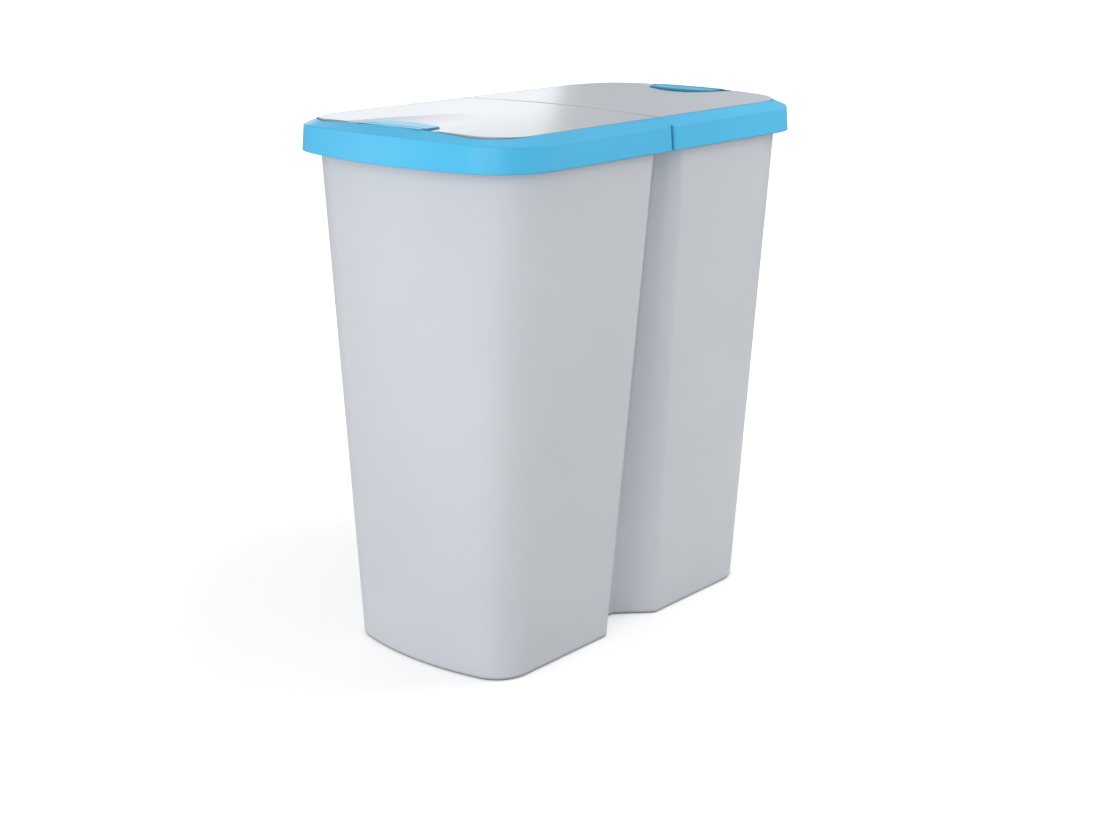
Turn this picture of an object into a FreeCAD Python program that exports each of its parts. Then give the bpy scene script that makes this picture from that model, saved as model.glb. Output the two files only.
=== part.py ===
import FreeCAD, Part
import math
import os
import Sketcher

# Double recycling bin: one moulded tub with two compartments side by side along X, and over each
# compartment a lift-off rim frame that carries a hinged lid with a finger tab.
# The origin is on the floor, at the middle of the footprint. +Z is up, sizes are millimetres.

os.makedirs("parts", exist_ok=True)
doc = FreeCAD.newDocument("DoubleBin")

# ---------------------------------------------------------------- driving sizes

SIZES = [
    # rim frames
    ("rim_length", 471.0),          # both frames, over the bowed ends
    ("rim_width", 282.0),
    ("rim_corner", 60.0),
    ("rim_bow", 26.5),              # how far each end bulges past its corners
    ("rim_slope", 0.075),           # lean of the skirt, run over rise
    ("rim_wall", 1.8),
    ("rim_seam", 0.4),              # gap between the two frames
    ("seam_round", 4.0),            # rounding of each frame's upright corners at that gap
    ("skirt_bottom", 471.5),        # height of the skirt's lower edge above the floor
    ("band_run", 15.0),             # sloped band round the lids: width
    ("band_drop", 6.0),             # and height
    ("band_wall", 3.4),
    ("ledge_top", 495.0),           # shelf that the lid's flange lies on
    ("ledge_wall", 2.2),
    ("ledge_width", 12.0),
    ("opening_bow", 16.0),          # of the frame's mouth and collar, so that they clear the tub's ends
    ("collar_wall", 2.0),
    ("collar_bottom", 452.0),       # collar that traps the bag inside the tub's mouth
    ("rib_wall", 1.6),
    ("seat_gap", 0.2),
    ("rib_pitch", 50.0),
    ("rib_offset", 10.0),           # by which the long sides' ribs stand nearer the middle
    ("rib_gap", 0.6),               # between a rib and the skirt
    ("rib_overlap", 1.0),           # how far the ribs run up into the band
    ("end_rib_inset", 5.4),         # from the skirt's end to the end ribs
    # lids
    ("lid_top", 503.0),             # crown of the lids, the highest point of the bin
    ("lid_crown", 3.0),             # rise from the lid's long edges to its middle
    ("lid_length", 434.0),          # both lids, over the outer ends
    ("lid_width", 243.4),
    ("lid_corner", 40.0),
    ("lid_bow", 12.0),
    ("lid_wall", 2.4),
    ("lid_gap", 1.8),               # between the two lids
    ("lid_edge", 2.0),              # rounding of the hinged edge
    ("lid_margin", 0.9),            # between a lid and its frame
    ("lid_seat_gap", 0.3),
    ("flange_wall", 2.0),
    # finger tab and the scoop in front of it
    ("tab_width", 75.6),            # along Y
    ("tab_inner", 187.6),           # from the middle of the bin to the tab's inner edge
    ("tab_outer", 211.2),
    ("tab_arch", 7.0),
    ("tab_wall", 2.4),
    ("tab_gap", 0.7),
    ("tab_land_gap", 1.1),
    ("tab_edge", 1.5),
    ("tab_axis_inset", 1.7),        # from the tab's outer edge to its axis
    ("tab_axis_depth", 2.5),        # from the crown to the tab's axis
    ("tab_barrel", 1.7),
    ("trunnion_radius", 1.2),
    ("trunnion_length", 2.4),
    ("trunnion_clearance", 0.05),
    ("nib_arm_depth", 9.5),
    ("nib_arm_half", 1.0),
    ("nib_reach", 0.3),             # gap left between the nib and the catch
    ("nib_height", 2.0),
    ("nib_width", 22.0),
    ("well_wall", 2.0),
    ("well_floor_top", 488.0),
    ("well_clearance", 1.0),
    ("scoop_length", 91.0),
    ("scoop_half_width", 60.0),
    ("scoop_depth", 3.6),
    # lid hinges
    ("hinge_inset", 13.0),          # from the middle of the bin to the hinge axis
    ("hinge_height", 497.0),
    ("hinge_station", 45.0),        # along Y, from the middle
    ("pin_radius", 1.4),
    ("pin_seat_clearance", 0.02),
    ("pin_clearance", 0.05),
    ("ear_radius", 2.8),
    ("ear_wall", 4.7),
    ("ear_gap", 0.3),
    ("lug_radius", 3.2),
    ("lug_width", 8.0),
    ("bar_top", 480.3),             # cross bar of each frame, under the lids' hinged edges
    ("bar_wall", 2.3),
    ("bar_clearance", 2.0),
    ("bar_reach", 1.0),             # of the cross bar past the hinge axis
    ("swing_clearance", 2.0),       # beside the lids' swinging edges
    ("notch_side", 2.0),            # room in the lid's flange beside the ears
    ("notch_top", 0.7),             # and between the ears and the lid's plate
    ("land_lap", 0.2),              # of the catch block into the band
    # tub
    ("tub_height", 480.0),
    ("base_length", 400.0),
    ("base_width", 199.6),
    ("base_corner", 36.0),
    ("base_bow", 17.5),
    ("mouth_length", 425.6),
    ("mouth_width", 272.4),
    ("mouth_corner", 55.0),
    ("mouth_bow", 19.0),
    ("tub_wall", 2.2),
    ("partition_wall", 2.6),
    ("foot_height", 2.0),
    ("foot_width", 8.0),
    ("floor_wall", 2.6),
    ("base_fillet", 3.0),
    # upright grooves that part the two compartments' outsides
    ("groove_base_half", 39.0),
    ("groove_mouth_half", 21.0),
    ("groove_base_floor", 8.0),
    ("groove_mouth_floor", 4.0),
    ("groove_base_depth", 30.0),
    ("groove_mouth_depth", 28.0),
    ("groove_round", 6.0),
]

sheet = doc.addObject("Spreadsheet::Sheet", "Sizes")
for row, (alias, number) in enumerate(SIZES, start=1):
    sheet.set(f"A{row}", alias)
    sheet.set(f"B{row}", str(number))
    sheet.setAlias(f"B{row}", alias)
doc.recompute()


class Names:
    """Expression text for a named size, as in S.rim_length."""

    def __getattr__(self, alias):
        return f"Sizes.{alias}"


S = Names()
ORIGIN = (-1, 1)
LENGTH_AXIS = -1
HEIGHT_AXIS = -2


def value(expression):
    """Number that an expression on the sheet stands for."""
    return float(sheet.evalExpression(str(expression)))


def plus(*terms):
    """Sum of expression texts."""
    return "(" + " + ".join(str(term) for term in terms) + ")"


def minus(first, *rest):
    """First expression less all the others."""
    return "(" + " - ".join([str(first)] + [f"({term})" for term in rest]) + ")"


def times(*terms):
    return "(" + " * ".join(f"({term})" for term in terms) + ")"


def half(term):
    return f"(({term}) / 2)"


# ---------------------------------------------------------------- sketch helpers

def hold(sketch, kind, arguments, expression):
    """Add one dimension to a sketch and bind it to an expression."""
    index = sketch.addConstraint(Sketcher.Constraint(kind, *arguments, value(expression)))
    sketch.setExpression(f"Constraints[{index}]", str(expression))


def place_point(sketch, edge, end, across, along):
    """Dimension one sketch point from the origin."""
    for kind, axis, expression in (("DistanceX", HEIGHT_AXIS, across), ("DistanceY", LENGTH_AXIS, along)):
        size = value(expression)
        if abs(size) < 1e-9:
            sketch.addConstraint(Sketcher.Constraint("PointOnObject", edge, end, axis))
        elif size > 0:
            hold(sketch, kind, (*ORIGIN, edge, end), expression)
        else:
            hold(sketch, kind, (edge, end, *ORIGIN), f"-({expression})")


def polygon(sketch, corners):
    """Closed straight-sided outline through corners given as pairs of expressions."""
    points = [FreeCAD.Vector(value(across), value(along), 0) for across, along in corners]
    first = sketch.GeometryCount
    count = len(points)
    for number in range(count):
        sketch.addGeometry(Part.LineSegment(points[number], points[(number + 1) % count]))
    for number in range(count):
        following = first + (number + 1) % count
        sketch.addConstraint(Sketcher.Constraint("Coincident", first + number, 2, following, 1))
    for number, (across, along) in enumerate(corners):
        place_point(sketch, first + number, 1, across, along)


def rectangle(sketch, low_across, high_across, low_along, high_along):
    polygon(sketch, [(low_across, low_along), (high_across, low_along),
                     (high_across, high_along), (low_across, high_along)])


def circle(sketch, across, along, radius):
    centre = FreeCAD.Vector(value(across), value(along), 0)
    edge = sketch.addGeometry(Part.Circle(centre, FreeCAD.Vector(0, 0, 1), value(radius)))
    place_point(sketch, edge, 3, across, along)
    hold(sketch, "Radius", (edge,), radius)


def arc(centre_x, centre_y, radius, start, end):
    ring = Part.Circle(FreeCAD.Vector(centre_x, centre_y, 0), FreeCAD.Vector(0, 0, 1), radius)
    return Part.ArcOfCircle(ring, start, end)


def plan_outline(sketch, side, length, width, corner, bow, inner):
    """Half of a long rounded plan: straight sides, two corners and a bowed outer end.

    side is -1 for the half at -X and 1 for the one at +X. length and width are those of the whole
    plan, and inner is how far from the middle of the bin this half stops."""
    half_length = value(half(length))
    half_width = value(half(width))
    radius = value(corner)
    rise = value(bow)
    near = value(inner)
    end_radius = (half_width ** 2 + rise ** 2) / (2 * rise)
    end_centre = half_length - end_radius
    corner_y = half_width - radius
    corner_x = end_centre + math.sqrt((end_radius - radius) ** 2 - corner_y ** 2)
    turn = math.atan2(corner_y, corner_x - end_centre)

    def point(x, y):
        return FreeCAD.Vector(side * x, y, 0)

    def side_arc(centre_x, centre_y, arc_radius, start, end):
        if side > 0:
            return arc(centre_x, centre_y, arc_radius, start, end)
        return arc(-centre_x, centre_y, arc_radius, math.pi - end, math.pi - start)

    first = sketch.GeometryCount
    top, upper, end, lower, bottom, back = range(first, first + 6)
    quarter = math.pi / 2
    sketch.addGeometry(Part.LineSegment(point(near, half_width), point(corner_x, half_width)))
    sketch.addGeometry(side_arc(corner_x, corner_y, radius, turn, quarter))
    sketch.addGeometry(side_arc(end_centre, 0, end_radius, -turn, turn))
    sketch.addGeometry(side_arc(corner_x, -corner_y, radius, -quarter, -turn))
    sketch.addGeometry(Part.LineSegment(point(corner_x, -half_width), point(near, -half_width)))
    sketch.addGeometry(Part.LineSegment(point(near, -half_width), point(near, half_width)))
    start, finish = (1, 2) if side > 0 else (2, 1)
    for one, one_end, other, other_end in ((top, 2, upper, finish), (upper, start, end, finish),
                                           (end, start, lower, finish), (lower, start, bottom, 1)):
        sketch.addConstraint(Sketcher.Constraint("Tangent", one, one_end, other, other_end))
    sketch.addConstraint(Sketcher.Constraint("Coincident", bottom, 2, back, 1))
    sketch.addConstraint(Sketcher.Constraint("Coincident", back, 2, top, 1))
    sketch.addConstraint(Sketcher.Constraint("Horizontal", top))
    sketch.addConstraint(Sketcher.Constraint("Horizontal", bottom))
    sketch.addConstraint(Sketcher.Constraint("Equal", upper, lower))
    sketch.addConstraint(Sketcher.Constraint("PointOnObject", end, 3, LENGTH_AXIS))
    across = f"{side} * {inner}"
    place_point(sketch, back, 2, across, half(width))
    place_point(sketch, back, 1, across, f"-{half(width)}")
    end_size = f"(({half(width)} ^ 2 + ({bow}) ^ 2) / (2 * ({bow})))"
    hold(sketch, "Radius", (end,), end_size)
    hold(sketch, "Radius", (upper,), corner)
    offset = minus(end_size, half(length))
    ends = (end, 3, *ORIGIN) if side > 0 else (*ORIGIN, end, 3)
    hold(sketch, "DistanceX", ends, offset)


def crown_outline(sketch, drop, ceiling, reach):
    """Region between a crowned line across the bin and a flat line above it (or below it).

    drop lowers the crown from the lid's surface, ceiling is the flat line's height."""
    crown_radius = f"(({half(S.lid_width)} ^ 2 + {S.lid_crown} ^ 2) / (2 * {S.lid_crown}) - ({drop}))"
    radius = value(crown_radius)
    top = value(minus(S.lid_top, drop))
    wide = value(reach)
    centre = top - radius
    rise = math.sqrt(radius ** 2 - wide ** 2)
    angle = math.atan2(rise, wide)
    flat = value(ceiling)
    first = sketch.GeometryCount
    sketch.addGeometry(arc(0, centre, radius, angle, math.pi - angle))
    low = FreeCAD.Vector(-wide, centre + rise, 0)
    high = FreeCAD.Vector(wide, centre + rise, 0)
    sketch.addGeometry(Part.LineSegment(low, FreeCAD.Vector(-wide, flat, 0)))
    sketch.addGeometry(Part.LineSegment(FreeCAD.Vector(-wide, flat, 0), FreeCAD.Vector(wide, flat, 0)))
    sketch.addGeometry(Part.LineSegment(FreeCAD.Vector(wide, flat, 0), high))
    for number, following, end, start in ((0, 1, 2, 1), (1, 2, 2, 1), (2, 3, 2, 1), (3, 0, 2, 1)):
        sketch.addConstraint(Sketcher.Constraint("Coincident", first + number, end, first + following, start))
    sketch.addConstraint(Sketcher.Constraint("PointOnObject", first, 3, HEIGHT_AXIS))
    sketch.addConstraint(Sketcher.Constraint("Vertical", first + 1))
    sketch.addConstraint(Sketcher.Constraint("Vertical", first + 3))
    hold(sketch, "Radius", (first,), crown_radius)
    centre_height = minus(S.lid_top, drop, crown_radius)
    if centre > 0:
        hold(sketch, "DistanceY", (*ORIGIN, first, 3), centre_height)
    else:
        hold(sketch, "DistanceY", (first, 3, *ORIGIN), f"-{centre_height}")
    place_point(sketch, first + 2, 1, f"-({reach})", ceiling)
    place_point(sketch, first + 2, 2, reach, ceiling)


# ---------------------------------------------------------------- one piece of the bin

class Piece:
    """A body built up feature by feature."""

    volume = 0.0

    def __init__(self, name):
        self.name = name
        self.body = doc.addObject("PartDesign::Body", name)
        self.body.Label = name
        self.count = 0

    def plane(self, role):
        return next(item for item in self.body.Origin.OriginFeatures if item.Role == role)

    def attach(self, item, role, offset):
        item.AttachmentSupport = [(self.plane(role), "")]
        item.MapMode = "FlatFace"
        if offset is not None:
            item.setExpression(".AttachmentOffset.Base.z", str(offset))

    def sketch(self, title, role="XY_Plane", offset=None):
        self.count += 1
        drawing = self.body.newObject("Sketcher::SketchObject", f"{self.name}_{title}_{self.count}")
        self.attach(drawing, role, offset)
        return drawing

    def feature(self, kind, title):
        self.count += 1
        return self.body.newObject(f"PartDesign::{kind}", f"{self.name}_{title}_{self.count}")

    def finish(self, item, grows):
        """Recompute and make sure that the feature changed the piece as it should."""
        before = self.volume
        doc.recompute()
        after = self.body.Shape.Volume
        change = after - before
        if grows is None:
            changed = abs(change) > 1e-6
        elif grows:
            changed = change > 0
        else:
            changed = change < 0
        if not item.isValid() or not changed:
            raise RuntimeError(f"{item.Label} left the piece as it was: {before:.1f} to {after:.1f}")
        self.volume = after

    def pad(self, drawing, depth, both_ways=False, reverse=False, cut=False):
        item = self.feature("Pocket" if cut else "Pad", "cut" if cut else "pad")
        item.Profile = drawing
        item.Type = "Length"
        item.setExpression("Length", str(depth))
        item.SideType = "Symmetric" if both_ways else "One side"
        item.Reversed = reverse
        self.finish(item, not cut)
        return item

    def cut_up(self, drawing, depth):
        """Cut a plan drawing upwards from its own height."""
        return self.pad(drawing, depth, reverse=True, cut=True)

    def cut_across(self, drawing, depth):
        return self.pad(drawing, depth, both_ways=True, cut=True)

    def loft(self, low, high, cut=False):
        item = self.feature("SubtractiveLoft" if cut else "AdditiveLoft", "hollow" if cut else "loft")
        item.Profile = low
        item.Sections = [high]
        item.Ruled = True
        self.finish(item, not cut)
        return item

    def dress(self, kind, test, sizes, **settings):
        """Fillet or chamfer the edges of the piece that pass a test."""
        base = self.body.Tip
        names = [f"Edge{number}" for number, edge in enumerate(base.Shape.Edges, start=1) if test(edge)]
        item = self.feature(kind, kind.lower())
        item.Base = (base, names)
        for name, setting in settings.items():
            setattr(item, name, setting)
        for name, expression in sizes.items():
            item.setExpression(name, str(expression))
        self.finish(item, None)
        return item


def spans(edge, low, high):
    """Does an edge run from one height to the other?"""
    box = edge.BoundBox
    return abs(box.ZMin - low) < 0.01 and abs(box.ZMax - high) < 0.01


# ---------------------------------------------------------------- double tub

def double_tub():
    tub = Piece("double_tub")
    base = (S.base_length, S.base_width, S.base_corner, S.base_bow)
    mouth = (S.mouth_length, S.mouth_width, S.mouth_corner, S.mouth_bow)
    for side in (-1, 1):
        low = tub.sketch("base")
        plan_outline(low, side, *base, 0)
        high = tub.sketch("mouth", offset=S.tub_height)
        plan_outline(high, side, *mouth, 0)
        tub.loft(low, high)
    tub_grooves(tub)
    for side in (-1, 1):
        tub_compartment(tub, side, base, mouth)
    tub_foot(tub)
    side_y = value(half(S.base_width)) - 0.5
    end_x = value(half(S.base_length)) - 0.5
    groove_x = value(S.groove_base_half) + 5

    def rests(edge):
        box = edge.BoundBox
        far_x = max(abs(box.XMin), abs(box.XMax))
        far_y = max(abs(box.YMin), abs(box.YMax))
        return box.ZMax < 0.01 and (far_y > side_y or far_x > end_x or far_x < groove_x)

    tub.dress("Fillet", rests, {"Radius": S.base_fillet})
    drawing = tub.sketch("partition_drop", offset=S.tub_height)
    reach = plus(S.hinge_inset, S.bar_clearance)
    across = plus(half(S.lid_width), S.lid_margin, S.bar_clearance)
    rectangle(drawing, f"-{reach}", reach, f"-{across}", across)
    tub.pad(drawing, plus(minus(S.tub_height, S.bar_top), S.bar_wall, S.bar_clearance), cut=True)
    return tub


def groove_line(width, depth, floor, mouth):
    """Slope of a groove's side, and the place of its floor, as expressions."""
    floor_y = minus(half(width), depth)
    slope = f"(({depth}) / (({mouth}) - ({floor})))"
    return floor_y, slope


def groove_outline(sketch, front, width, depth, floor, mouth, overshoot):
    floor_y, slope = groove_line(width, depth, floor, mouth)
    outer_y = plus(half(width), overshoot)
    outer_x = plus(mouth, f"{overshoot} / {slope}")
    polygon(sketch, [(f"-({floor})", times(front, floor_y)), (floor, times(front, floor_y)),
                     (outer_x, times(front, outer_y)), (f"-{outer_x}", times(front, outer_y))])


def tub_grooves(tub):
    overshoot = 6
    for front in (-1, 1):
        low = tub.sketch("groove_base")
        groove_outline(low, front, S.base_width, S.groove_base_depth, S.groove_base_floor,
                       S.groove_base_half, overshoot)
        high = tub.sketch("groove_mouth", offset=S.tub_height)
        groove_outline(high, front, S.mouth_width, S.groove_mouth_depth, S.groove_mouth_floor,
                       S.groove_mouth_half, overshoot)
        tub.loft(low, high, cut=True)
    height = value(S.tub_height)
    near = value(S.groove_base_half) + 1

    def upright(edge):
        return spans(edge, 0, height) and max(abs(edge.BoundBox.XMin), abs(edge.BoundBox.XMax)) < near

    tub.dress("Fillet", upright, {"Radius": S.groove_round})


def compartment_outline(sketch, side, plan, groove):
    """Inside of one compartment: the plan less its wall, with the groove's slanted flanks."""
    length, width, corner, bow = plan
    depth, floor, mouth = groove
    floor_y, slope = groove_line(width, depth, floor, mouth)
    across_wall = f"({S.tub_wall} * sqrt(1 + {slope} ^ 2))"
    near = half(S.partition_wall)
    near_y = minus(floor_y, times(minus(floor, near), slope), across_wall)
    inner_y = minus(half(width), S.tub_wall)
    shoulder = plus(floor, f"({inner_y} + {across_wall} - {floor_y}) / {slope}")
    thinner = times(2, S.tub_wall)
    plan_outline(sketch, side, minus(length, thinner), minus(width, thinner),
                 minus(corner, S.tub_wall), bow, shoulder)
    return near, near_y, shoulder, inner_y


def tub_compartment(tub, side, base, mouth):
    """Hollow of one compartment: a main part and a wedge between the grooves."""
    grooves = ((S.groove_base_depth, S.groove_base_floor, S.groove_base_half),
               (S.groove_mouth_depth, S.groove_mouth_floor, S.groove_mouth_half))
    floor_height = plus(S.foot_height, S.floor_wall)
    main = []
    wedge = []
    for plan, groove, height in ((base, grooves[0], floor_height), (mouth, grooves[1], S.tub_height)):
        drawing = tub.sketch("compartment", offset=height)
        near, near_y, shoulder, inner_y = compartment_outline(drawing, side, plan, groove)
        main.append(drawing)
        narrow = tub.sketch("wedge", offset=height)
        lap = plus(shoulder, 0.5)
        polygon(narrow, [(times(side, near), f"-{near_y}"), (times(side, shoulder), f"-{inner_y}"),
                         (times(side, lap), f"-{inner_y}"), (times(side, lap), inner_y),
                         (times(side, shoulder), inner_y), (times(side, near), near_y)])
        wedge.append(narrow)
    tub.loft(main[0], main[1], cut=True)
    tub.loft(wedge[0], wedge[1], cut=True)


def tub_foot(tub):
    """Shallow recess under each compartment, so that the tub stands on a ring."""
    narrower = times(2, S.foot_width)
    for side in (-1, 1):
        drawing = tub.sketch("foot")
        plan_outline(drawing, side, minus(S.base_length, narrower), minus(S.base_width, narrower),
                     minus(S.base_corner, S.foot_width), S.base_bow, plus(S.groove_base_half, S.foot_width))
        tub.cut_up(drawing, S.foot_height)


# ---------------------------------------------------------------- rim frames

def rim_plan(inset):
    """Plan of the skirt, drawn in by an amount."""
    twice = times(2, inset)
    return (minus(S.rim_length, twice), minus(S.rim_width, twice), minus(S.rim_corner, inset), S.rim_bow)


def lid_plan(outset):
    """Plan of the two lids together, let out by an amount."""
    twice = times(2, outset)
    return (plus(S.lid_length, twice), plus(S.lid_width, twice), plus(S.lid_corner, outset), S.lid_bow)


def opening_plan(outset):
    """Plan of the frame's mouth: as long and wide as the lids', with more of a bow at the end."""
    length, width, corner, _ = lid_plan(outset)
    return (length, width, corner, S.opening_bow)


BLOCK_TOP = plus(S.lid_top, 3)
SEAM = half(S.rim_seam)
LEDGE_OUT = plus(S.lid_margin, S.ledge_wall)
MOUTH_IN = minus(S.lid_margin, S.ledge_width)
LAND = plus(S.tab_outer, S.tab_land_gap)
WELL_HALF = plus(half(S.tab_width), S.tab_gap)
WELL_OUT = plus(WELL_HALF, S.well_wall)


def crown_cut(piece, drop=0):
    """Trim everything above the crowned surface."""
    drawing = piece.sketch("crown", "YZ_Plane")
    crown_outline(drawing, drop, times(4, S.lid_top), plus(half(S.rim_width), 5))
    piece.cut_across(drawing, times(2, S.rim_length))


def box_pad(piece, side, near, far, half_width, low, high, cut=False):
    """Block between two distances from the middle, across the whole width and two heights."""
    drawing = piece.sketch("block", offset=low)
    rectangle(drawing, times(side, near), times(side, far), f"-({half_width})", half_width)
    depth = minus(high, low)
    if cut:
        piece.cut_up(drawing, depth)
    else:
        piece.pad(drawing, depth)


def plan_pad(piece, side, plan, inner, low, high, cut=False):
    drawing = piece.sketch("plan", offset=low)
    plan_outline(drawing, side, *plan, inner)
    if cut:
        piece.cut_up(drawing, minus(high, low))
    else:
        piece.pad(drawing, minus(high, low))


def rim_frame(name, side):
    frame = Piece(name)
    rim_shell(frame, side)
    rim_ledge_and_collar(frame, side)
    rim_ribs(frame, side)
    rim_bar_and_openings(frame, side)
    rim_ears(frame, side)
    return frame


def rim_shell(frame, side):
    """Skirt and sloped band."""
    low = frame.sketch("skirt_low", offset=S.skirt_bottom)
    plan_outline(low, side, *rim_plan(0), SEAM)
    high = frame.sketch("skirt_high", offset=BLOCK_TOP)
    plan_outline(high, side, *rim_plan(times(S.rim_slope, minus(BLOCK_TOP, S.skirt_bottom))), SEAM)
    frame.loft(low, high)
    crown_cut(frame)
    bottom = value(S.skirt_bottom)
    seam = value(SEAM)

    def outer_top(edge):
        box = edge.BoundBox
        return box.ZMin > bottom + 5 and max(abs(box.XMin), abs(box.XMax)) > seam + 0.1

    frame.dress("Chamfer", outer_top, {"Size": S.band_run, "Size2": S.band_drop},
                ChamferType="Two distances", FlipDirection=True)
    skirt_side = value(minus(half(S.rim_width), times(S.rim_slope, minus(BLOCK_TOP, S.skirt_bottom))))

    def seam_corner(edge):
        box = edge.BoundBox
        at_seam = abs(box.XMin - side * seam) < 0.01 and abs(box.XMax - side * seam) < 0.01
        return at_seam and min(abs(box.YMin), abs(box.YMax)) > skirt_side and box.ZLength > 1

    frame.dress("Fillet", seam_corner, {"Radius": S.seam_round})
    hollow_middle = minus(S.lid_top, S.lid_crown, S.band_drop, S.band_wall)
    inner = plus(SEAM, S.rim_wall)
    low = frame.sketch("hollow_low", offset=S.skirt_bottom)
    plan_outline(low, side, *rim_plan(S.rim_wall), inner)
    middle_plan = rim_plan(plus(S.rim_wall, times(S.rim_slope, minus(hollow_middle, S.skirt_bottom))))
    middle = frame.sketch("hollow_middle", offset=hollow_middle)
    plan_outline(middle, side, *middle_plan, inner)
    frame.loft(low, middle, cut=True)
    middle = frame.sketch("hollow_middle", offset=hollow_middle)
    plan_outline(middle, side, *middle_plan, inner)
    high = frame.sketch("hollow_high", offset=minus(S.lid_top, S.lid_crown, S.band_wall))
    plan_outline(high, side, *lid_plan(LEDGE_OUT), inner)
    frame.loft(middle, high, cut=True)


def rim_ledge_and_collar(frame, side):
    ledge_low = minus(S.ledge_top, S.ledge_wall)
    plan_pad(frame, side, lid_plan(LEDGE_OUT), SEAM, ledge_low, minus(S.lid_top, S.lid_crown, 2))
    collar = opening_plan(plus(MOUTH_IN, S.collar_wall))
    plan_pad(frame, side, collar, minus(S.hinge_inset, 1), S.collar_bottom, plus(ledge_low, 1))


def rim_ribs(frame, side):
    """Upright ribs under the band that rest on the tub's rim."""
    seat = plus(S.tub_height, S.seat_gap)
    top = minus(S.lid_top, S.lid_crown, S.band_drop, S.rib_overlap)
    drawing = frame.sketch("ribs", offset=seat)
    near_y = minus(half(S.lid_width), S.ledge_width)
    far_y = minus(half(S.rim_width), S.rim_wall, S.rib_gap)
    for step in (1, 2, 3):
        middle = times(side, minus(times(step, S.rib_pitch), S.rib_offset))
        low_x = minus(middle, half(S.rib_wall))
        high_x = plus(middle, half(S.rib_wall))
        rectangle(drawing, low_x, high_x, near_y, far_y)
        rectangle(drawing, low_x, high_x, f"-{far_y}", f"-{near_y}")
    near_x = minus(half(S.lid_length), S.ledge_width)
    far_x = minus(half(S.rim_length), S.end_rib_inset)
    for across in (-1, 1):
        middle = times(across, S.rib_pitch)
        rectangle(drawing, times(side, near_x), times(side, far_x),
                  minus(middle, half(S.rib_wall)), plus(middle, half(S.rib_wall)))
    frame.pad(drawing, minus(top, seat))


def rim_bar_and_openings(frame, side):
    over = plus(S.lid_top, 10)
    bar_low = minus(S.bar_top, S.bar_wall)
    bar_far = plus(S.hinge_inset, S.bar_reach)
    swing = plus(times(2, S.hinge_inset), S.swing_clearance)
    opening_half = plus(half(S.lid_width), S.lid_margin)
    plan_pad(frame, side, lid_plan(S.lid_margin), -1, S.ledge_top, over, cut=True)
    mouth_low = minus(S.collar_bottom, 1)
    plan_pad(frame, side, opening_plan(MOUTH_IN), bar_far, mouth_low, over, cut=True)
    box_pad(frame, side, -1, swing, opening_half, S.bar_top, over, cut=True)
    box_pad(frame, side, -1, plus(SEAM, S.rim_wall, 0.5), minus(half(S.lid_width), S.ledge_width),
            minus(S.skirt_bottom, 1), bar_low, cut=True)
    box_pad(frame, side, SEAM, bar_far, opening_half, bar_low, S.bar_top)
    land_far = minus(half(S.rim_length), times(S.rim_slope, minus(S.lid_top, S.skirt_bottom)), S.band_run)
    well_low = minus(S.well_floor_top, S.well_wall, 2)
    land_half = minus(WELL_HALF, S.lid_margin)
    box_pad(frame, side, LAND, plus(land_far, S.land_lap), land_half, well_low, over)
    clear_half = plus(WELL_OUT, S.well_clearance)
    land_near = minus(half(S.lid_length), S.ledge_width, 5)
    box_pad(frame, side, land_near, LAND, clear_half, well_low, over, cut=True)
    crown_cut(frame)


def rim_ears(frame, side):
    """Ears on the cross bar, one each side of each of the lid's two lugs."""
    inner = plus(half(S.lug_width), S.ear_gap)
    outer = plus(inner, S.ear_wall)
    axis = times(side, S.hinge_inset)
    for station in (-1, 1):
        for flank in (-1, 1):
            middle = plus(times(station, S.hinge_station), times(flank, half(plus(inner, outer))))
            post = frame.sketch("ear_post", "XZ_Plane", offset=f"-{middle}")
            rectangle(post, minus(axis, S.ear_radius), plus(axis, S.ear_radius),
                      minus(S.bar_top, 1), S.hinge_height)
            frame.pad(post, S.ear_wall, both_ways=True)
            knuckle = frame.sketch("ear_knuckle", "XZ_Plane", offset=f"-{middle}")
            circle(knuckle, axis, S.hinge_height, S.ear_radius)
            frame.pad(knuckle, S.ear_wall, both_ways=True)
    bore = frame.sketch("pin_bore", "XZ_Plane")
    circle(bore, axis, S.hinge_height, plus(S.pin_radius, S.pin_seat_clearance))
    frame.cut_across(bore, times(4, S.hinge_station))


# ---------------------------------------------------------------- lids

def lid(name, side):
    cover = Piece(name)
    inner = half(S.lid_gap)
    strip = cover.sketch("plate", "YZ_Plane", offset=times(side, inner))
    crown_strip(strip)
    cover.pad(strip, half(S.lid_length), reverse=side < 0)
    scoop(cover, side, S.lid_wall, False)
    ring = cover.sketch("trim", offset=minus(S.well_floor_top, 20))
    rectangle(ring, times(side, -5), times(side, S.rim_length),
              f"-{times(2, S.rim_width)}", times(2, S.rim_width))
    plan_outline(ring, side, *lid_plan(0), inner)
    cover.cut_up(ring, times(4, S.lid_top))
    lid_flange(cover, side, inner)
    lid_well(cover, side)
    lid_lugs(cover, side)
    crown_cut(cover)
    scoop(cover, side, 0, True)
    bevel = cover.sketch("hinged_edge", "XZ_Plane")
    back = plus(inner, S.lid_edge)
    polygon(bevel, [(times(side, inner), minus(S.lid_top, S.lid_edge)), (times(side, inner), BLOCK_TOP),
                    (times(side, back), BLOCK_TOP), (times(side, back), S.lid_top)])
    cover.cut_across(bevel, times(2, S.lid_width))
    return cover


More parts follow.
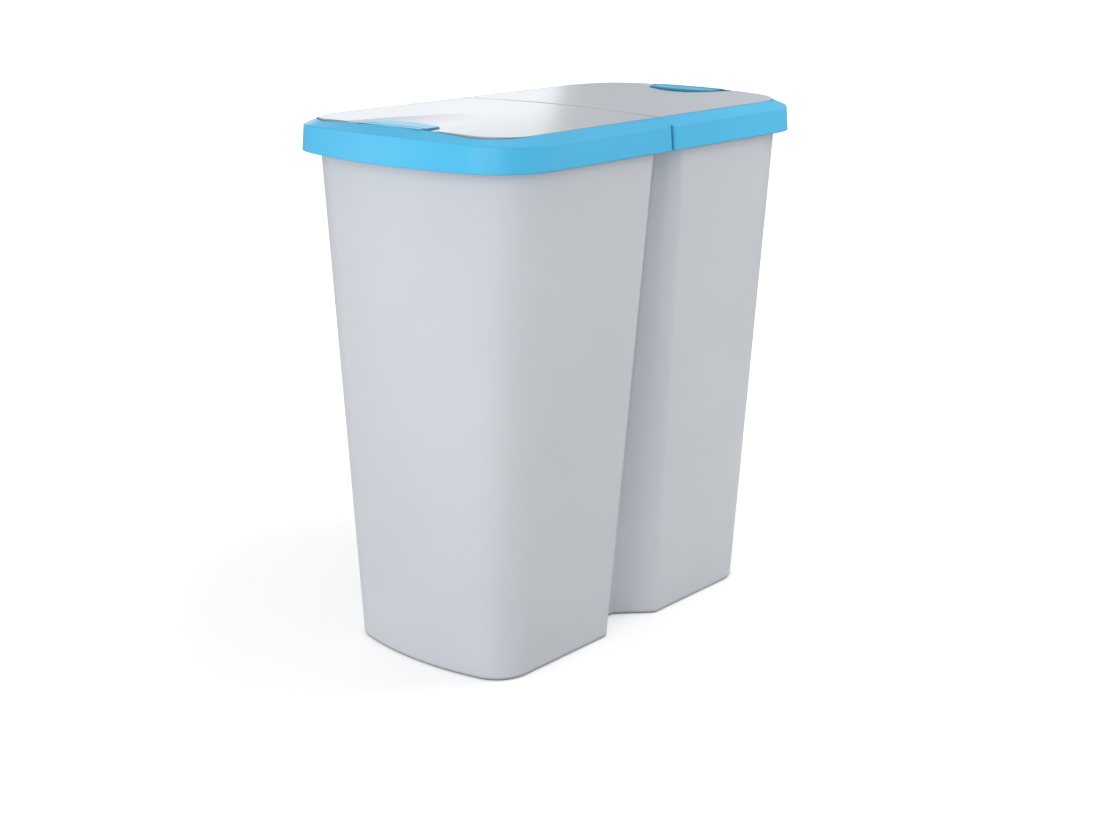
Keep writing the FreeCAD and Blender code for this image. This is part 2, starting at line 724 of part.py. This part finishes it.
def crown_strip(drawing):
    """Crowned strip of the lid's thickness, across the bin."""
    outer = f"({half(S.lid_width)} ^ 2 + {S.lid_crown} ^ 2) / (2 * {S.lid_crown})"
    wide = value(half(S.lid_width))
    radius = value(outer)
    inner_radius = radius - value(S.lid_wall)
    centre = value(S.lid_top) - radius
    ends = []
    for size in (radius, inner_radius):
        angle = math.acos(wide / size)
        drawing.addGeometry(arc(0, centre, size, angle, math.pi - angle))
        ends.append(centre + size * math.sin(angle))
    for reach in (-wide, wide):
        drawing.addGeometry(Part.LineSegment(FreeCAD.Vector(reach, ends[0], 0),
                                             FreeCAD.Vector(reach, ends[1], 0)))
    for one, end, other, start in ((0, 2, 2, 1), (1, 2, 2, 2), (0, 1, 3, 1), (1, 1, 3, 2)):
        drawing.addConstraint(Sketcher.Constraint("Coincident", one, end, other, start))
    drawing.addConstraint(Sketcher.Constraint("PointOnObject", 0, 3, HEIGHT_AXIS))
    drawing.addConstraint(Sketcher.Constraint("Coincident", 0, 3, 1, 3))
    drawing.addConstraint(Sketcher.Constraint("Vertical", 2))
    drawing.addConstraint(Sketcher.Constraint("Vertical", 3))
    hold(drawing, "Radius", (0,), outer)
    hold(drawing, "Radius", (1,), f"({outer}) - {S.lid_wall}")
    hold(drawing, "DistanceY", (0, 3, *ORIGIN), f"-({S.lid_top} - ({outer}))")
    hold(drawing, "DistanceX", (*ORIGIN, 3, 1), half(S.lid_width))
    hold(drawing, "DistanceX", (2, 1, *ORIGIN), half(S.lid_width))


def scoop(cover, side, drop, cut):
    """Shallow dish in front of the finger tab, shaped by a large leaning cylinder."""
    fall = f"({S.scoop_depth} / {S.scoop_length})"
    radius = f"({S.scoop_half_width} ^ 2 / (2 * {S.scoop_depth}))"
    start = minus(half(S.lid_length), S.scoop_length, S.scoop_length)
    kind, title = ("SubtractiveCylinder", "scoop") if cut else ("AdditiveCylinder", "dish")
    roller = cover.feature(kind, title)
    cover.attach(roller, "XY_Plane", plus(S.lid_top, radius, S.scoop_depth, f"-({drop})"))
    turn = side * (90 + math.degrees(math.atan(value(fall))))
    place = roller.AttachmentOffset.Base
    roller.AttachmentOffset = FreeCAD.Placement(place, FreeCAD.Rotation(FreeCAD.Vector(0, 1, 0), turn))
    roller.setExpression(".AttachmentOffset.Base.x", times(side, start))
    roller.setExpression("Radius", radius)
    roller.setExpression("Height", times(3, S.scoop_length))
    cover.finish(roller, not cut)


def lid_flange(cover, side, inner):
    """Down-turned flange along the lid's long edges and outer end."""
    low = plus(S.ledge_top, S.lid_seat_gap)
    drawing = cover.sketch("flange", offset=low)
    plan_outline(drawing, side, *lid_plan(0), inner)
    plan_outline(drawing, side, *lid_plan(f"-{S.flange_wall}"), plus(inner, S.flange_wall))
    cover.pad(drawing, minus(S.lid_top, low))
    ear_reach = plus(S.hinge_station, half(S.lug_width), S.ear_gap, S.ear_wall, S.notch_side)
    box_pad(cover, side, -1, plus(inner, S.flange_wall, 0.5), ear_reach, minus(low, 1),
            minus(S.lid_top, S.lid_wall, S.notch_top), cut=True)


def tab_outline(drawing, side, grow, outer):
    """Plan of the finger tab: straight outer edge and ends, arched inner edge."""
    near = minus(S.tab_inner, grow)
    reach = plus(half(S.tab_width), grow)
    shoulder = plus(near, S.tab_arch)
    polygon_with_arch(drawing, side, near, shoulder, outer, reach)


def polygon_with_arch(drawing, side, near, shoulder, outer, reach):
    rise = value(S.tab_arch)
    wide = value(reach)
    radius = (wide ** 2 + rise ** 2) / (2 * rise)
    centre = value(near) + radius
    turn = math.asin(wide / radius)
    if side > 0:
        drawing.addGeometry(arc(centre, 0, radius, math.pi - turn, math.pi + turn))
    else:
        drawing.addGeometry(arc(-centre, 0, radius, -turn, turn))
    first_end, second_end = (1, 2) if side > 0 else (2, 1)
    corner = side * value(shoulder)
    far = side * value(outer)
    drawing.addGeometry(Part.LineSegment(FreeCAD.Vector(corner, wide, 0), FreeCAD.Vector(far, wide, 0)))
    drawing.addGeometry(Part.LineSegment(FreeCAD.Vector(far, wide, 0), FreeCAD.Vector(far, -wide, 0)))
    drawing.addGeometry(Part.LineSegment(FreeCAD.Vector(far, -wide, 0), FreeCAD.Vector(corner, -wide, 0)))
    for one, end, other, start in ((0, first_end, 1, 1), (1, 2, 2, 1), (2, 2, 3, 1), (3, 2, 0, second_end)):
        drawing.addConstraint(Sketcher.Constraint("Coincident", one, end, other, start))
    place_point(drawing, 1, 1, times(side, shoulder), reach)
    place_point(drawing, 2, 1, times(side, outer), reach)
    place_point(drawing, 3, 1, times(side, outer), f"-({reach})")
    place_point(drawing, 3, 2, times(side, shoulder), f"-({reach})")
    hold(drawing, "Radius", (0,), f"(({reach}) ^ 2 + {S.tab_arch} ^ 2) / (2 * {S.tab_arch})")


def lid_well(cover, side):
    """Finger well under the tab: two side walls, an inner wall and a floor."""
    near = minus(S.tab_inner, S.tab_gap, S.well_wall)
    far = minus(LAND, S.well_clearance)
    floor_low = minus(S.well_floor_top, S.well_wall)
    top = plus(S.lid_top, 1)
    box_pad(cover, side, near, far, WELL_OUT, floor_low, top)
    hole = cover.sketch("well", offset=S.well_floor_top)
    tab_outline(hole, side, S.tab_gap, plus(LAND, 10))
    cover.cut_up(hole, minus(top, S.well_floor_top, -10))
    bore = cover.sketch("trunnion_bore", "XZ_Plane")
    circle(bore, times(side, minus(S.tab_outer, S.tab_axis_inset)), minus(S.lid_top, S.tab_axis_depth),
           plus(S.trunnion_radius, S.trunnion_clearance))
    cover.cut_across(bore, times(2, plus(WELL_OUT, 1)))


def lid_lugs(cover, side):
    axis = times(side, S.hinge_inset)
    for station in (-1, 1):
        middle = times(station, S.hinge_station)
        web = cover.sketch("lug_web", "XZ_Plane", offset=f"-{middle}")
        rectangle(web, minus(axis, S.ear_radius), plus(axis, S.ear_radius), S.hinge_height, S.lid_top)
        cover.pad(web, S.lug_width, both_ways=True)
        lug = cover.sketch("lug", "XZ_Plane", offset=f"-{middle}")
        circle(lug, axis, S.hinge_height, S.lug_radius)
        cover.pad(lug, S.lug_width, both_ways=True)
    bore = cover.sketch("lug_bore", "XZ_Plane")
    circle(bore, axis, S.hinge_height, plus(S.pin_radius, S.pin_clearance))
    cover.cut_across(bore, times(4, S.hinge_station))


# ---------------------------------------------------------------- finger tabs and hinge pins

def finger_tab(name, side):
    """Tab that a finger lifts: it tips about its outer edge and draws its nib off the catch."""
    tab = Piece(name)
    plan = tab.sketch("plan", offset=minus(S.lid_top, S.tab_wall))
    tab_outline(plan, side, 0, S.tab_outer)
    tab.pad(plan, plus(S.tab_wall, 1))
    crown_cut(tab)
    axis = times(side, minus(S.tab_outer, S.tab_axis_inset))
    axis_height = minus(S.lid_top, S.tab_axis_depth)
    outer = value(S.tab_outer)
    crown = value(S.lid_top)

    def outer_edge(edge):
        box = edge.BoundBox
        return abs(box.XMin - side * outer) < 0.01 and abs(box.XMax - side * outer) < 0.01 \
            and box.ZMax > crown - 0.05 and box.YLength > 10

    tab.dress("Fillet", outer_edge, {"Radius": S.tab_edge})
    barrel = tab.sketch("barrel", "XZ_Plane")
    circle(barrel, axis, axis_height, S.tab_barrel)
    tab.pad(barrel, S.tab_width, both_ways=True)
    trunnion = tab.sketch("trunnion", "XZ_Plane")
    circle(trunnion, axis, axis_height, S.trunnion_radius)
    tab.pad(trunnion, plus(S.tab_width, times(2, S.trunnion_length)), both_ways=True)
    arm = tab.sketch("nib", "XZ_Plane")
    nib_low = minus(axis_height, S.nib_arm_depth)
    catch = minus(LAND, S.nib_reach)
    arm_near = minus(axis, times(side, S.nib_arm_half))
    arm_far = plus(axis, times(side, S.nib_arm_half))
    nib_top = plus(nib_low, S.nib_height)
    polygon(arm, [(arm_near, axis_height), (arm_near, nib_low), (times(side, catch), nib_low),
                  (times(side, catch), nib_top), (arm_far, nib_top), (arm_far, axis_height)])
    tab.pad(arm, S.nib_width, both_ways=True)
    return tab


def hinge_pin(name, side, station):
    pin = Piece(name)
    middle = times(station, S.hinge_station)
    drawing = pin.sketch("section", "XZ_Plane", offset=f"-{middle}")
    circle(drawing, times(side, S.hinge_inset), S.hinge_height, S.pin_radius)
    pin.pad(drawing, plus(S.lug_width, times(2, plus(S.ear_gap, S.ear_wall))), both_ways=True)
    return pin


# ---------------------------------------------------------------- assembly and files

pieces = [double_tub()]
for word, side in (("left", -1), ("right", 1)):
    pieces.append(rim_frame(f"{word}_rim_frame", side))
    pieces.append(lid(f"{word}_lid", side))
    pieces.append(finger_tab(f"{word}_finger_tab", side))
    for place, station in (("front", -1), ("rear", 1)):
        pieces.append(hinge_pin(f"{word}_{place}_hinge_pin", side, station))

doc.recompute()
for item in doc.Objects:
    if "Invalid" in item.State or "Error" in item.State:
        raise RuntimeError(f"{item.Label} failed: {item.State}")
for piece in pieces:
    shape = piece.body.Shape
    if shape.isNull() or not shape.isValid() or len(shape.Solids) != 1:
        raise RuntimeError(f"{piece.name} is not one sound solid")
for piece in pieces:
    piece.body.Shape.exportStep(f"parts/{piece.name}.step")
    box = piece.body.Shape.BoundBox
    print(f"{piece.name}: {piece.body.Shape.Volume / 1000:.1f} cm3,"
          f" {box.XLength:.1f} x {box.YLength:.1f} x {box.ZLength:.1f} mm")
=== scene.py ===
# %% [markdown]
# A double recycling bin, dressed for a photograph.
# The real object looks moulded from satin plastic: one grey tub with two compartments, a blue
# rim frame over each, and a crowned grey lid in each frame with a blue finger tab.
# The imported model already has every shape, so this lesson is about finishes, light and camera.

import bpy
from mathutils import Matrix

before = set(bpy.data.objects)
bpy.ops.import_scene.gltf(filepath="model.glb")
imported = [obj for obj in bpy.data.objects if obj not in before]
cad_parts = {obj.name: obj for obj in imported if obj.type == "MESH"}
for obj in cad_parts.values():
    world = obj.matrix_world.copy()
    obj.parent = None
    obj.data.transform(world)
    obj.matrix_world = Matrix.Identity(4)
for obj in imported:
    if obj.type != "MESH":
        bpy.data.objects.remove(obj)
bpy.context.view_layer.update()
print("nodes:", ", ".join(sorted(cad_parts)))

# %% Tools and units
import math

import bpy
from mathutils import Vector

MM = 0.001
bpy.ops.object.select_all(action="DESELECT")
print("one millimetre is", MM, "Blender units")

# %% [markdown]
# The camera stands left of the bin's near corner and a little above the lids. Its place, aim
# and lens come from a perspective fit to the photograph. The aim is written as a direction,
# which is easier to check than angles.

# %% Camera
CAMERA_PLACE = Vector((-1.26581, -1.09084, 0.68909))
CAMERA_AIM = Vector((0.72520, 0.62865, -0.28087))
LENS = 57.44
SENSOR_WIDTH = 36.0

bpy.ops.object.camera_add(location=CAMERA_PLACE)
camera = bpy.context.object
camera.name = "photo_camera"
camera.rotation_euler = CAMERA_AIM.to_track_quat("-Z", "Y").to_euler()
camera.data.lens = LENS
camera.data.sensor_width = SENSOR_WIDTH
bpy.context.scene.camera = camera
print("camera turned", [round(math.degrees(angle), 2) for angle in camera.rotation_euler])

# %% [markdown]
# Every finish is a small tree of nodes. The same few steps come back in each: a new material,
# a link, a noise, and a noise spread over a range. Each gets a helper, so that a finish reads
# as what it does and not as a list of sockets.

# %% Helpers for node trees


def link(tree, source, output, target, socket):
    tree.links.new(source.outputs[output], target.inputs[socket])


def new_material(name):
    """A material with its node tree and its main shader."""
    material = bpy.data.materials.new(name)
    material.use_nodes = True
    return material, material.node_tree, material.node_tree.nodes["Principled BSDF"]


def noise(tree, coordinates, scale, detail):
    """Noise read from the piece's own coordinates."""
    node = tree.nodes.new("ShaderNodeTexNoise")
    node.inputs["Scale"].default_value = scale
    node.inputs["Detail"].default_value = detail
    link(tree, coordinates, "Object", node, "Vector")
    return node


def spread(tree, source, output, span):
    """A value from 0 to 1, spread over a span."""
    node = tree.nodes.new("ShaderNodeMapRange")
    node.inputs["To Min"].default_value, node.inputs["To Max"].default_value = span
    link(tree, source, output, node, "Value")
    return node


def ramp(tree, source, low, high, span):
    """Colour ramp between two colours, over a span of the noise."""
    node = tree.nodes.new("ShaderNodeValToRGB")
    stops = node.color_ramp.elements
    stops[0].position, stops[1].position = span
    stops[0].color, stops[1].color = (*low, 1.0), (*high, 1.0)
    link(tree, source, "Fac", node, "Fac")
    return node


print("five helpers for node trees")

# %% [markdown]
# Moulded plastic isn't one flat colour. Its surface has a very fine grain from the mould,
# a broad drift in tone, and a slightly uneven gloss.
# Each finish below is one set of nodes with the same three parts, so the helper takes the
# colours and the gloss and builds them. Every pattern is read from Object coordinates, so it
# stays on the piece when a lid swings. The ambient occlusion node also paints shade into the
# base colour within a few millimetres of a neighbour, so narrow gaps read darker.

# %% A helper that builds a moulded plastic
DRIFT_PER_METRE = 5.0
DRIFT_DETAIL = 3.0
DRIFT_SPAN = (0.35, 0.65)
SMEAR_PER_METRE = 40.0
SMEAR_DETAIL = 5.0
GRAIN_PER_METRE = 1400.0
GRAIN_DETAIL = 2.0
GRAIN_HEIGHT = 0.02 * MM
# How far the painted shade in narrow gaps reaches, and how many samples it takes.
CREVICE_SHADE_REACH = 5.0 * MM
CREVICE_SHADE_SAMPLES = 6


def moulded_plastic(name, low, high, gloss, grain, edge):
    """Satin moulded plastic: drifting tone, uneven gloss, a fine grain, softened edges and
    painted shade in narrow gaps.
    """
    material, tree, shader = new_material(name)
    coordinates = tree.nodes.new("ShaderNodeTexCoord")
    drift = noise(tree, coordinates, DRIFT_PER_METRE, DRIFT_DETAIL)
    tone = ramp(tree, drift, low, high, DRIFT_SPAN)
    # Painted shade: the ambient occlusion node darkens the base colour near a neighbouring
    # surface.
    painted_crevice_shade = tree.nodes.new("ShaderNodeAmbientOcclusion")
    painted_crevice_shade.inputs["Distance"].default_value = CREVICE_SHADE_REACH
    painted_crevice_shade.samples = CREVICE_SHADE_SAMPLES
    link(tree, tone, "Color", painted_crevice_shade, "Color")
    link(tree, painted_crevice_shade, "Color", shader, "Base Color")
    smear = noise(tree, coordinates, SMEAR_PER_METRE, SMEAR_DETAIL)
    roughness = spread(tree, smear, "Fac", gloss)
    link(tree, roughness, "Result", shader, "Roughness")
    fine = noise(tree, coordinates, GRAIN_PER_METRE, GRAIN_DETAIL)
    bump = tree.nodes.new("ShaderNodeBump")
    bump.inputs["Strength"].default_value = grain
    bump.inputs["Distance"].default_value = GRAIN_HEIGHT
    soften = tree.nodes.new("ShaderNodeBevel")
    soften.inputs["Radius"].default_value = edge
    link(tree, soften, "Normal", bump, "Normal")
    link(tree, fine, "Fac", bump, "Height")
    link(tree, bump, "Normal", shader, "Normal")
    print("finish", name, "roughness", gloss)
    return material


# %% [markdown]
# The tub and the lids are nearly the same cool pale grey. The rim frames and tabs are a clear sky
# blue with a little more gloss, which is why their band catches the light.

# %% Plastic finishes
PALE = (0.600, 0.630, 0.672)
PALER = (0.628, 0.656, 0.698)
COOL = (0.560, 0.612, 0.668)
COOLER = (0.584, 0.634, 0.688)
SKY = (0.072, 0.520, 0.850)
LIGHT_SKY = (0.086, 0.545, 0.872)
RIM_SPECULAR = 0.34

tub_grey = moulded_plastic("tub_grey_plastic", PALE, PALER,
                           gloss=(0.34, 0.44), grain=0.25, edge=1.0 * MM)
lid_grey = moulded_plastic("lid_grey_plastic", COOL, COOLER,
                           gloss=(0.26, 0.32), grain=0.18, edge=0.3 * MM)
rim_blue = moulded_plastic("rim_blue_plastic", SKY, LIGHT_SKY,
                           gloss=(0.30, 0.38), grain=0.15, edge=2.2 * MM)
rim_shader = rim_blue.node_tree.nodes["Principled BSDF"]
rim_shader.inputs["Specular IOR Level"].default_value = RIM_SPECULAR

# %% [markdown]
# The photograph doesn't show the hinge pins, which lie under the lids. They are taken to be
# plain drawn wire. Drawing leaves fine scratches along a wire, so the noise is stretched
# along Y, the pins' own direction.

# %% Steel wire
STEEL = (0.56, 0.57, 0.58, 1.0)
SCRATCHES_PER_METRE = (2500.0, 60.0, 2500.0)
WIRE_GLOSS = (0.25, 0.45)

pin_steel, steel_tree, steel = new_material("pin_wire_steel")
steel.inputs["Metallic"].default_value = 1.0
steel.inputs["Base Color"].default_value = STEEL
steel_place = steel_tree.nodes.new("ShaderNodeTexCoord")
stretch = steel_tree.nodes.new("ShaderNodeMapping")
stretch.inputs["Scale"].default_value = SCRATCHES_PER_METRE
link(steel_tree, steel_place, "Object", stretch, "Vector")
scratches = steel_tree.nodes.new("ShaderNodeTexNoise")
scratches.inputs["Scale"].default_value = 1.0
link(steel_tree, stretch, "Vector", scratches, "Vector")
wire_gloss = spread(steel_tree, scratches, "Fac", WIRE_GLOSS)
link(steel_tree, wire_gloss, "Result", steel, "Roughness")
print("steel pins: scratches run along Y")

# %% Give every piece its finish
FINISHES = {"tub": tub_grey, "lid": lid_grey, "rim_frame": rim_blue, "finger_tab": rim_blue,
            "hinge_pin": pin_steel}

for name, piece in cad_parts.items():
    finish = next(FINISHES[word] for word in FINISHES if name.endswith(word))
    piece.data.materials.clear()
    piece.data.materials.append(finish)
    print(name, "->", finish.name)

# %% [markdown]
# The bin stands in a white studio. The floor is a pale plane. What the camera sees of it is
# lifted to white, so only the bin's own soft shadow is left. The lift is weaker close to the
# bin, where it would wash the shadow out. The lamps aren't raised for this, since that would
# bleach the grey plastic.

# %% Floor
FLOOR_SIZE = 60.0
PAPER = (0.80, 0.80, 0.80, 1.0)
SHADOW_REACH = (0.35, 1.7)
LIFT = (0.35, 1.0)

bpy.ops.mesh.primitive_plane_add(size=FLOOR_SIZE, location=(0.0, 0.0, 0.0))
floor = bpy.context.object
floor.name = "studio_floor"
paper, paper_tree, paper_shader = new_material("white_paper")
paper_shader.inputs["Base Color"].default_value = PAPER
paper_shader.inputs["Roughness"].default_value = 1.0
paper_shader.inputs["Specular IOR Level"].default_value = 0.0
glow = paper_tree.nodes.new("ShaderNodeEmission")
paper_place = paper_tree.nodes.new("ShaderNodeTexCoord")
reach = paper_tree.nodes.new("ShaderNodeVectorMath")
reach.operation = "LENGTH"
link(paper_tree, paper_place, "Object", reach, "Vector")
fade = spread(paper_tree, reach, "Value", LIFT)
fade.inputs["From Min"].default_value, fade.inputs["From Max"].default_value = SHADOW_REACH
link(paper_tree, fade, "Result", glow, "Strength")
print("floor lifted from", SHADOW_REACH[0], "to", SHADOW_REACH[1], "metres out")

# %% Only the camera sees the lift
paths = paper_tree.nodes.new("ShaderNodeLightPath")
seen = paper_tree.nodes.new("ShaderNodeMixShader")
nothing = paper_tree.nodes.new("ShaderNodeEmission")
nothing.inputs["Strength"].default_value = 0.0
link(paper_tree, paths, "Is Camera Ray", seen, "Fac")
paper_tree.links.new(nothing.outputs[0], seen.inputs[1])
paper_tree.links.new(glow.outputs[0], seen.inputs[2])
both = paper_tree.nodes.new("ShaderNodeAddShader")
paper_tree.links.new(paper_shader.outputs[0], both.inputs[0])
paper_tree.links.new(seen.outputs[0], both.inputs[1])
paper_out = paper_tree.nodes["Material Output"]
paper_tree.links.new(both.outputs[0], paper_out.inputs["Surface"])
floor.data.materials.append(paper)
print("floor material", paper.name)

# %% White surroundings
AMBIENT = 0.42
CAMERA_WHITE = 1.0

world = bpy.data.worlds.new("white_studio")
bpy.context.scene.world = world
world.use_nodes = True
world_tree = world.node_tree
surroundings = world_tree.nodes["Background"]
surroundings.inputs["Color"].default_value = (1.0, 1.0, 1.0, 1.0)
world_paths = world_tree.nodes.new("ShaderNodeLightPath")
level = spread(world_tree, world_paths, "Is Camera Ray", (AMBIENT, CAMERA_WHITE))
link(world_tree, level, "Result", surroundings, "Strength")
print("world in place, ambient", AMBIENT)

# %% [markdown]
# The key and a weaker lamp behind it light the near end from the left. The fill lights the
# grooved side, and a lamp over the floor brightens its lower right. The lid lamp is close
# behind the bin: the near lid mirrors it and fades to white, and the far lid doesn't. The
# tall strip by the camera draws the upright line of light down the near corner.

# %% Lamps


def soft_lamp(name, place, target, size, power):
    """A rectangular lamp that the camera doesn't see."""
    bpy.ops.object.light_add(type="AREA", location=place)
    lamp = bpy.context.object
    lamp.name = name
    lamp.data.shape = "RECTANGLE"
    lamp.data.size, lamp.data.size_y = size
    lamp.data.energy = power
    lamp.visible_camera = False
    lamp.rotation_euler = (Vector(target) - Vector(place)).to_track_quat("-Z", "Y").to_euler()
    print(name, power, "watts")


BIN_MIDDLE = (0.0, 0.0, 0.25)
NEAR_LID = (-0.14, 0.0, 0.5)
FLOOR_SPOT = (0.65, -0.65, 0.0)

# Each row: name, place and target in metres, width and height in metres, watts.
LAMPS = [
    ("key_lamp", (-2.6, -0.4, 1.1), BIN_MIDDLE, (1.6, 1.6), 22.0),
    ("fill_lamp", (1.2, -1.5, 0.8), BIN_MIDDLE, (0.7, 0.6), 3.2),
    ("floor_lamp", (0.65, -0.65, 1.1), FLOOR_SPOT, (0.5, 0.5), 5.0),
    ("end_lamp", (-1.3, 1.1, 0.35), BIN_MIDDLE, (0.9, 0.9), 4.0),
    ("top_lamp", (0.0, 0.2, 2.6), BIN_MIDDLE, (2.4, 2.4), 14.0),
    ("lid_lamp", (0.56, 0.94, 0.70), NEAR_LID, (0.72, 0.3), 1.1),
    ("corner_strip", (-1.75, -1.35, 0.8), BIN_MIDDLE, (0.18, 1.3), 5.0),
]
for row in LAMPS:
    soft_lamp(*row)

# %% Picture settings
bpy.context.scene.view_settings.view_transform = "Standard"
